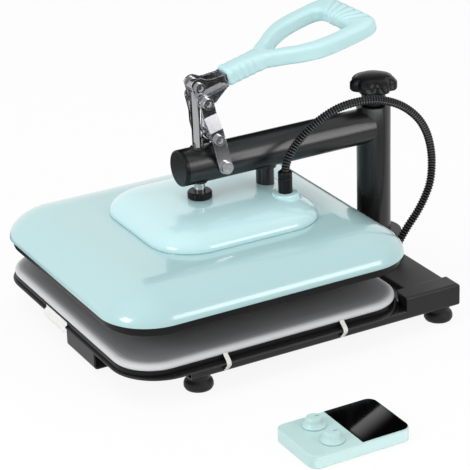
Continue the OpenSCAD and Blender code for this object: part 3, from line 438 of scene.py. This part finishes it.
# Straps: four white elastic bands that hold the pad's cover, tucked under its edge, over the tray's rim and
# down to the rails.
def smooth_line(marks, per_span):
    """Even curve through marks: a cubic between each two, whose slope at a mark is half the step over its
    neighbours."""
    p = np.asarray(marks, float)
    a = np.concatenate([p[:1], p[:-2]])
    b, c = p[:-1], p[1:]
    d = np.concatenate([p[2:], p[-1:]])
    t = (np.arange(per_span) / per_span)[None, :, None]
    a, b, c, d = (q[:, None, :] for q in (a, b, c, d))
    square, cube = 2 * a - 5 * b + 4 * c - d, 3 * b - a - 3 * c + d
    spans = 0.5 * (2 * b + (c - a) * t + square * t**2 + cube * t**3)
    return np.concatenate([spans.reshape(-1, p.shape[1]), p[-1:]])


def evenly(line, count):
    """The same line marked at equal distances along it, and its length."""
    run = np.concatenate([[0.0], np.cumsum(np.linalg.norm(np.diff(line, axis=0), axis=1))])
    at = np.linspace(0.0, run[-1], count)
    return np.stack([np.interp(at, run, line[:, k]) for k in range(line.shape[1])], axis=-1), run[-1]


def band(line, width, half_thick):
    """Flat band: an oval section, a superellipse with blunt ends, carried along a line in its own plane and
    wide across that plane. Gives the two coordinates in the plane and the one across it."""
    slope = unit(np.gradient(line, axis=0))
    normal = np.stack([-slope[:, 1], slope[:, 0]], axis=-1)
    a = np.linspace(0.0, 2 * math.pi, 16, endpoint=False)
    wide = width / 2 * np.sign(np.cos(a)) * np.abs(np.cos(a)) ** 0.3
    thick = half_thick * np.sign(np.sin(a)) * np.abs(np.sin(a)) ** 0.7
    flat = line[:, None] + thick[None, :, None] * normal[:, None]
    return flat[..., 0], flat[..., 1], np.broadcast_to(wide[None], flat.shape[:2])


def woven(name, tone, shade, threads, across):
    """White weave: two crossed waves raise the threads, and the colour drifts between two whites with a broad
    noise.
    """
    made = finish(name, shade, tone, grain=900.0, rough=(0.7, 0.85), bump=(0.1, 0.0002))
    tree = made.node_tree
    place = add_node(tree, "ShaderNodeTexCoord", (-1300, 600))
    both = add_node(tree, "ShaderNodeMath", (-750, 550), operation="MULTIPLY")
    relief = add_node(tree, "ShaderNodeBump", (-100, -450), Strength=0.5, Distance=0.0002)
    for entry, direction in enumerate([across, "Z"]):
        wave = add_node(tree, "ShaderNodeTexWave", (-1000, 700 - 250 * entry), bands_direction=direction)
        wave.inputs["Scale"].default_value = threads
        wave.inputs["Distortion"].default_value = 0.3
        tree.links.new(place.outputs["Object"], wave.inputs["Vector"])
        tree.links.new(wave.outputs["Fac"], both.inputs[entry])
    tree.links.new(both.outputs[0], relief.inputs["Height"])
    shader = tree.nodes["Principled BSDF"]
    tree.links.new(shader.inputs["Normal"].links[0].from_socket, relief.inputs["Normal"])
    tree.links.new(relief.outputs["Normal"], shader.inputs["Normal"])
    shader.inputs["Sheen Weight"].default_value = 0.2
    return made


strap_width, strap_half_thick, strap_places = 0.006, 0.0005, (-0.070, 0.090)
strap_marks = np.array([
    [0.1907, 0.0465], [0.1927, 0.0440], [0.1980, 0.0400], [0.2001, 0.0365], [0.1997, 0.0335],
    [0.1950, 0.0280], [0.1917, 0.0245],
])
strap_line, _ = evenly(smooth_line(strap_marks, 12), 48)
strap_out, strap_rise, strap_across = band(strap_line, strap_width, strap_half_thick)
elastic = woven("white_elastic", tint(240, 240, 236), tint(222, 222, 218), threads=700.0, across="Y")
strap_skins = [
    np.stack([side * strap_out, y + strap_across, strap_rise], axis=-1)
    for side in (-1.0, 1.0)
    for y in strap_places
]
straps = loft("elastic_straps", elastic, *strap_skins)
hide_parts("pad_straps")
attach(straps, "base")


# Band at the front: a plain white woven tape. It is held under the pad, comes out over the tray's rim and
# hangs down in front of it.
tape_width, tape_half_thick, tape_x = 0.061, 0.0004, -0.0205
platen_front, tray_front, tape_lie = -0.190, -0.193, 0.0007
tape_marks = np.array([
    [platen_front - tape_lie, 0.0425], [platen_front - tape_lie, 0.0405], [-0.1912, 0.0388],
    [-0.1928, 0.0378], [tray_front - tape_lie, 0.0362], [-0.1939, 0.0335], [-0.1941, 0.0310],
    [-0.1939, 0.0282],
])
tape_line, tape_length = evenly(smooth_line(tape_marks, 6), 32)
tape_out, tape_rise, tape_across = band(tape_line, tape_width, tape_half_thick)
tape_weave = woven("white_tape", tint(244, 244, 242), tint(228, 228, 226), threads=600.0, across="X")
tape = loft("front_tape", tape_weave, np.stack([tape_x + tape_across, tape_out, tape_rise], axis=-1))
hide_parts("pad_tag")
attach(tape, "base")


# Post: a turned and blackened steel column bolted to the rear plate, with bronze bushes and a thrust washer
# that carry the arm. The bushes of the spindle and its guide are blackened in the same way.
turned_steel = finish(
    "turned_steel", tint(128, 129, 132), tint(165, 166, 168),
    grain=420.0, rough=(0.25, 0.4), bump=(0.06, 0.0001), metal=1.0, stretch=(0.3, 0.3, 6.0), edge=0.0005,
)
dress(turned_steel, "clamp_stud", "pressure_bridge")
bronze = finish(
    "sintered_bronze", tint(150, 118, 70), tint(182, 148, 92),
    grain=1200.0, rough=(0.32, 0.5), bump=(0.15, 0.0002), metal=1.0, edge=0.0004,
)
dress(bronze, "thrust_washer", "sleeve_bushes")
oil_black = finish(
    "oil_black_steel", tint(24, 23, 22), tint(36, 34, 32),
    grain=1200.0, rough=(0.34, 0.5), bump=(0.12, 0.0002), edge=0.0004, level=0.4,
)
dress(oil_black, "spindle_bush", "guide_bush", "column_bolts", "post_column")


# Arm: a steel sleeve that turns on the column and the round tube welded to it, powder coated like the guide
# rod. The caps pressed into their ends, the hose's gland and the pressure collar are black plastic.
tube_coat = finish(
    "tube_powder_coat", tint(15, 15, 16), tint(20, 20, 21),
    grain=1300.0, rough=(0.26, 0.34), bump=(0.12, 0.00025), edge=0.0006, level=0.5,
)
dress(tube_coat, "post_sleeve", "arm_tube", "guide_rod")
black_plastic = finish(
    "black_plastic", tint(12, 12, 13), tint(18, 18, 19),
    grain=1100.0, rough=(0.22, 0.32), bump=(0.1, 0.0002), edge=0.0007, level=0.18,
)
dress(black_plastic, "sleeve_cap", "arm_cap", "hose_gland", "pressure_collar")


# Clamp knob: a moulded black hand knob with seven finger notches, screwed on the stud in the post's top. It
# locks the arm's swing.
def turned(radius, height, turn, middle):
    """Rings round an upright axis through a middle point: each point stands at its own radius and turn, at
    its ring's height above that point."""
    x = middle[0] + radius * np.cos(turn)
    y = middle[1] + radius * np.sin(turn)
    return np.stack([x, y, np.broadcast_to(middle[2] + height[:, None], x.shape)], axis=-1)


knob_foot, lobes = (0.0, 0.258, 0.2315), 7
stem_and_rim = np.array([
    [0.0055, 0.0], [0.014, 0.0], [0.0153, 0.0006], [0.0155, 0.002], [0.0155, 0.0175], [0.0162, 0.0195],
    [0.0185, 0.0205], [0.0265, 0.0205], [0.0292, 0.0208], [0.0303, 0.0218], [0.0305, 0.0235],
    [0.0305, 0.0295], [0.0301, 0.0312],
])
dome_low, dome_top, dome_least = 0.0315, 0.0395, 0.0006
dome_in, dome_up = rolled(0.0285, 0.008, 2.3, 14)
knob_r = np.concatenate([stem_and_rim[:, 0], dome_in[1:-1], [dome_least]])
knob_h = np.concatenate([stem_and_rim[:, 1], dome_low + dome_up[1:-1], [dome_top]])
# A notch is a raised cosine round the knob. It cuts deeper towards the rim and leaves the stem round.
notch_turn, notch_root, notch_run, notch_depth, stem_top = math.radians(-28), 0.0195, 0.0105, 0.0046, 0.0195
round_knob = np.linspace(0.0, 2 * math.pi, 168, endpoint=False)
notch = (0.5 + 0.5 * np.cos(lobes * (round_knob - notch_turn))) ** 2.2
bite = notch_depth * np.clip((knob_r - notch_root) / notch_run, 0.0, 1.0) ** 1.3
knob_rho = knob_r[:, None] - bite[:, None] * notch[None] * (knob_h[:, None] > stem_top)
knob = loft("clamp_hand_knob", black_plastic, turned(knob_rho, knob_h, round_knob, knob_foot), crease=50.0)
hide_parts("clamp_knob")
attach(knob, "clamp")


# Head: a pressed steel shell with a raised cover on it, both in glossy mint enamel over a smooth primer. The
# cover stands on a narrow groove, and a round boss on it carries the hose's gland.
wall, least = 0.003, 0.0015
shell_half, shell_front, shell_rear, shell_corner = 0.1905, -0.198, 0.210, 0.065
shell_low, shell_high, shell_crown = 0.099, 0.036, 1.75
out_r, out_z = rolled(shell_corner, shell_high, shell_crown, 28)
in_r, in_z = rolled(shell_corner - wall, shell_high - wall, shell_crown, 28)
shell_skin = level_rings(
    shell_half, shell_front, shell_rear, shell_corner,
    np.concatenate([in_r[::-1], out_r]).clip(least),
    shell_low + np.concatenate([in_z[::-1], out_z]),
    steps=24,
)
enamel = finish(
    "mint_enamel", tint(169, 205, 207), tint(173, 208, 210),
    grain=260.0, rough=(0.28, 0.34), bump=(0.02, 0.0003), coat=1.0, broad=5.0,
)
shell = loft("head_cover_shell", enamel, shell_skin, crease=50.0)
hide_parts("head_shell")
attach(shell, "head")

cover_half, cover_front, cover_rear, cover_corner = 0.106, -0.093, 0.135, 0.058
cover_low, cover_high, cover_crown, groove = 0.135, 0.025, 2.0, 0.0011
out_r, out_z = rolled(cover_corner, cover_high - groove, cover_crown, 28)
in_r, in_z = rolled(cover_corner - wall - groove, cover_high - wall - groove, cover_crown, 28)
foot_r = [cover_corner - groove - wall, cover_corner - groove, cover_corner - groove, cover_corner - 0.0004]
foot_z = [0.0, 0.0, groove, groove]
cover_skin = level_rings(
    cover_half, cover_front, cover_rear, cover_corner,
    np.concatenate([in_r[::-1], foot_r, out_r]).clip(least),
    cover_low + np.concatenate([groove + in_z[::-1], foot_z, groove + out_z]),
    steps=24,
)
gland_place = (0.048, 0.098, 0.160)
boss_r = np.array([0.009, 0.0150, 0.0162, 0.0168, 0.017, 0.0175, 0.0185, 0.0205])
boss_z = np.array([0.0025, 0.0025, 0.0022, 0.0016, 0.0008, -0.002, -0.004, -0.008])
boss_skin = turned(boss_r[:, None], boss_z, np.linspace(0.0, 2 * math.pi, 64, endpoint=False), gland_place)
# The cover's enamel is the shell's mint painted lighter: painted light, for the light that the cover catches
# on its slopes.
lit_cover_enamel = finish(
    "mint_enamel_painted_lighter", tint(188, 225, 228), tint(192, 228, 231),
    grain=260.0, rough=(0.28, 0.34), bump=(0.02, 0.0003), coat=1.0, broad=5.0,
)
cover = loft("raised_cover", lit_cover_enamel, cover_skin, boss_skin, crease=50.0)
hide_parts("top_cover")
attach(cover, "head")


# Hose: black ribbed conduit that carries the heater's wires. It stands straight up out of the head's gland,
# arches beside the post and drops into a grommet in the rear plate, held by its own stiffness.
hose_route = np.array([
    [48, 98, 150], [48, 98, 170], [48, 98, 189], [49, 103, 207], [50, 114, 223], [52, 131, 239],
    [53, 151, 251], [54, 173, 259], [55, 197, 262], [57, 221, 261], [58, 245, 254], [59, 267, 242],
    [61, 286, 224], [62, 298, 203], [63, 304, 180], [64, 305, 157], [66, 301, 135], [67, 292, 116],
    [68, 280, 99], [69, 267, 85], [70, 256, 72], [70, 249, 60], [70, 246, 48], [70, 246, 36],
]) / 1000.0
hose_radius, hose_sides = 0.0055, 20
rib_pitch, rib_depth, marks_per_rib = 0.0036, 0.0014, 6
hose_line, hose_length = evenly(smooth_line(hose_route, 24), 1200)
rib_count = round(hose_length / rib_pitch)
hose_line, hose_length = evenly(hose_line, rib_count * marks_per_rib + 1)
# The section is a circle square to the line. Its radius rises from groove to crest as a widened cosine.
along = unit(np.gradient(hose_line, axis=0))
across = unit(np.array([1.0, 0.0, 0.0]) - along[:, :1] * along)
other = np.cross(along, across)
round_hose = np.linspace(0.0, 2 * math.pi, hose_sides, endpoint=False)[None, :, None]
rib_wave = 0.5 - 0.5 * np.cos(2 * math.pi * np.arange(len(hose_line)) / marks_per_rib)
rib_radius = (hose_radius - rib_depth + rib_depth * rib_wave**0.6)[:, None, None]
spokes = np.cos(round_hose) * across[:, None] + np.sin(round_hose) * other[:, None]
hose_skin = hose_line[:, None] + rib_radius * spokes
conduit = finish(
    "black_conduit", tint(4, 4, 5), tint(6, 6, 7),
    grain=900.0, rough=(0.16, 0.22), bump=(0.05, 0.0002), level=0.25,
)
# Painted highlight and shade: the rib crests are painted a lighter grey and the grooves left black, for the
# light the crests catch and the shade between them.
toned_by(conduit, "crest", tint(60, 60, 62), [(0.0, 0.0), (0.6, 0.02), (0.88, 0.55), (1.0, 1.0)])
hose = loft("ribbed_hose", conduit, hose_skin, crease=80.0)
keep_value(hose, "crest", np.broadcast_to(rib_wave[:, None], hose_skin.shape[:2]))
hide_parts("hose")
# Below the head the hose winds round the post as the arm swings, so that the head passes over it.
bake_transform(hose)


# Spindle and lever: a chromed spindle that the lever drives, two joggled links and the folded bracket in
# polished steel, and bright socket bolts at the pivots.
chrome = finish(
    "chrome", tint(160, 161, 163), tint(176, 177, 179),
    grain=300.0, rough=(0.06, 0.1), bump=(0.01, 0.0001), metal=1.0, stretch=(6.0, 6.0, 0.2), edge=0.0004,
)
dress(chrome, "spindle")
polished_plate = finish(
    "polished_plate", tint(172, 172, 175), tint(184, 184, 187),
    grain=380.0, rough=(0.12, 0.18), bump=(0.02, 0.0001), metal=1.0, stretch=(1.0, 1.0, 0.25), edge=0.0007,
    broad=25.0,
)
dress(polished_plate, "link_left", "link_right", "handle_bracket")
dress(zinc, "link_pivot_bolt", "link_tie", "link_top_bolts", "handle_pin", "grip_bolt")


# Handle: a D-shaped grip moulded in pale mint plastic, with a blocky shank that bolts to the bracket. The
# ring and the shank flow into each other, the shank has shallow finger flutes and the end bar has dips.
def mirrored_loop(edge):
    """Closed loop: a half outline that starts and ends on the middle line, then its mirror image."""
    return np.concatenate([edge, edge[-2::-1] * [-1.0, 1.0]])


def on_handle(x, u, v):
    """Places the handle's own coordinates: u along it from the spindle's eye and v square to it, both turned
    up by the handle's tilt."""
    c, s = math.cos(handle_tilt), math.sin(handle_tilt)
    return np.stack([x, eye_y + u * c - v * s, eye_z + u * s + v * c], axis=-1)


def blunt(turn, power):
    """Cosine and sine with squared-off shoulders: each raised to a power below one, keeping its sign."""
    c, s = np.cos(turn), np.sin(turn)
    return np.sign(c) * np.abs(c) ** power, np.sign(s) * np.abs(s) ** power


def ripple(at, start, pitch):
    """Wave that is 0 at the start and after every pitch, and 2 half way between."""
    return 1 - np.cos(2 * math.pi * (at - start) / pitch)


eye_y, eye_z, handle_tilt = 0.0034, 0.306, math.radians(14)
grip_length, grip_half, grip_thick, grip_drop = 0.234, 0.0615, 0.020, -0.005
outer_edge = np.array([
    [0, 0.367], [0.196, 0.375], [0.35, 0.418], [0.5, 0.471], [0.653, 0.518], [0.808, 0.576], [0.922, 0.635],
    [0.982, 0.716], [0.995, 0.81], [1, 0.904], [0.946, 0.964], [0.783, 0.994], [0.457, 1], [0, 1],
]) * [grip_half, grip_length]
inner_edge = np.array([
    [0, 0.452], [0.082, 0.458], [0.18, 0.478], [0.277, 0.516], [0.424, 0.561], [0.522, 0.61], [0.592, 0.661],
    [0.636, 0.725], [0.644, 0.793], [0.612, 0.84], [0.506, 0.864], [0.343, 0.868], [0.18, 0.864], [0, 0.868],
]) * [grip_half, grip_length]
outer_line = smooth_line(mirrored_loop(outer_edge), 10)
inner_line = smooth_line(mirrored_loop(inner_edge), 10)
middle, reach_out = (outer_line + inner_line) / 2, (outer_line - inner_line) / 2
round_bar = np.linspace(0.0, 2 * math.pi, 32, endpoint=False)
c, s = blunt(round_bar, 0.5)
plan = middle[:, None] + reach_out[:, None] * c[None, :, None]
dip_reach, dip_pitch, half_dip = 0.036, 0.012, 0.0007
on_end_bar = (np.abs(middle[:, 0]) < dip_reach) & (middle[:, 1] > 0.8 * grip_length)
finger_dip = half_dip * on_end_bar * ripple(middle[:, 0], -dip_reach, dip_pitch)
lift = grip_drop + (grip_thick / 2 - finger_dip)[:, None] * s[None]
ring_skin = on_handle(plan[..., 0], plan[..., 1], lift)

# Along the shank: distance from the eye, half width and half depth.
shank_marks = np.array([
    [0.039, 0.0128, 0.0092], [0.040, 0.0145, 0.0106], [0.042, 0.0154, 0.0115],
    [0.070, 0.0156, 0.0115], [0.090, 0.0175, 0.0106], [0.098, 0.0150, 0.0090],
])
flute_start, flute_end, flute_pitch, half_flute = 0.045, 0.083, 0.0095, 0.001
shank_at = np.linspace(shank_marks[0, 0], shank_marks[-1, 0], 60)
shank_wide = np.interp(shank_at, shank_marks[:, 0], shank_marks[:, 1])
shank_deep = np.interp(shank_at, shank_marks[:, 0], shank_marks[:, 2])
fluted = (shank_at > flute_start) & (shank_at < flute_end)
flute = half_flute * fluted * ripple(shank_at, flute_start, flute_pitch)
c, s = blunt(round_bar, 0.55)
shank_across = (shank_wide - flute)[:, None] * c
shank_along = np.broadcast_to(shank_at[:, None], shank_across.shape)
shank_skin = on_handle(shank_across, shank_along, grip_drop + shank_deep[:, None] * s)
grip_plastic = finish(
    "mint_grip_plastic", tint(192, 228, 230), tint(197, 232, 234),
    grain=600.0, rough=(0.34, 0.46), bump=(0.05, 0.0002), coat=0.15, broad=10.0,
)
grip = loft("lever_grip", grip_plastic, ring_skin, shank_skin)
fuse = grip.modifiers.new("fuse", "REMESH")
fuse.mode = "VOXEL"
fuse.voxel_size = 0.0009
ease = grip.modifiers.new("ease", "SMOOTH")
ease.factor = 0.5
ease.iterations = 3
moulded = bpy.data.meshes.new_from_object(grip.evaluated_get(bpy.context.evaluated_depsgraph_get()))
grip.modifiers.clear()
grip.data = moulded
moulded.shade_smooth()
if not moulded.materials:
    moulded.materials.append(grip_plastic)
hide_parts("handle_grip")
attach(grip, "handle")


# Controller: a flat mint case on a black base, with a glossy black display window over its rear half and two
# low mint dials in front of it, each with a dark pointer mark.
case_plastic = finish(
    "mint_case_plastic", tint(184, 215, 213), tint(190, 220, 218),
    grain=700.0, rough=(0.36, 0.46), bump=(0.05, 0.0002), coat=0.15, broad=12.0, edge=0.0008,
)
dress(case_plastic, "controller_case", "controller_dial_left", "controller_dial_right")
dress(black_plastic, "controller_base")
window = finish(
    "display_window", tint(3, 3, 4), tint(6, 6, 7),
    grain=300.0, rough=(0.05, 0.08), bump=(0.01, 0.0001), level=0.04,
)
dress(window, "controller_glass")

mark_ink = finish(
    "pointer_ink", tint(112, 130, 130), tint(130, 146, 146),
    grain=900.0, rough=(0.5, 0.6), bump=(0.1, 0.0001), level=0.3,
)
dial_y, mark_out, mark_half_length, mark_half_width = -0.045, 0.00375, 0.0026, 0.00068
mark_low, mark_high = 0.0278, 0.0283
# A mark is a thin bar along its dial's radius, whose half width follows a superellipse and rounds the ends.
mark_u = np.linspace(-1.0, 1.0, 15)
mark_half = mark_half_width * np.sqrt((1 - np.abs(mark_u) ** 6).clip(0.02))
for dial_name, dial_x in [("left", 0.3498), ("right", 0.3892)]:
    corner_x = dial_x + mark_half[:, None] * np.array([-1, 1, 1, -1])
    corner_y = np.broadcast_to((dial_y + mark_out + mark_half_length * mark_u)[:, None], corner_x.shape)
    corner_z = np.broadcast_to([mark_low, mark_low, mark_high, mark_high], corner_x.shape)
    mark = loft("pointer_mark_" + dial_name, mark_ink, np.stack([corner_x, corner_y, corner_z], axis=-1))
    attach(mark, "dial_" + dial_name)
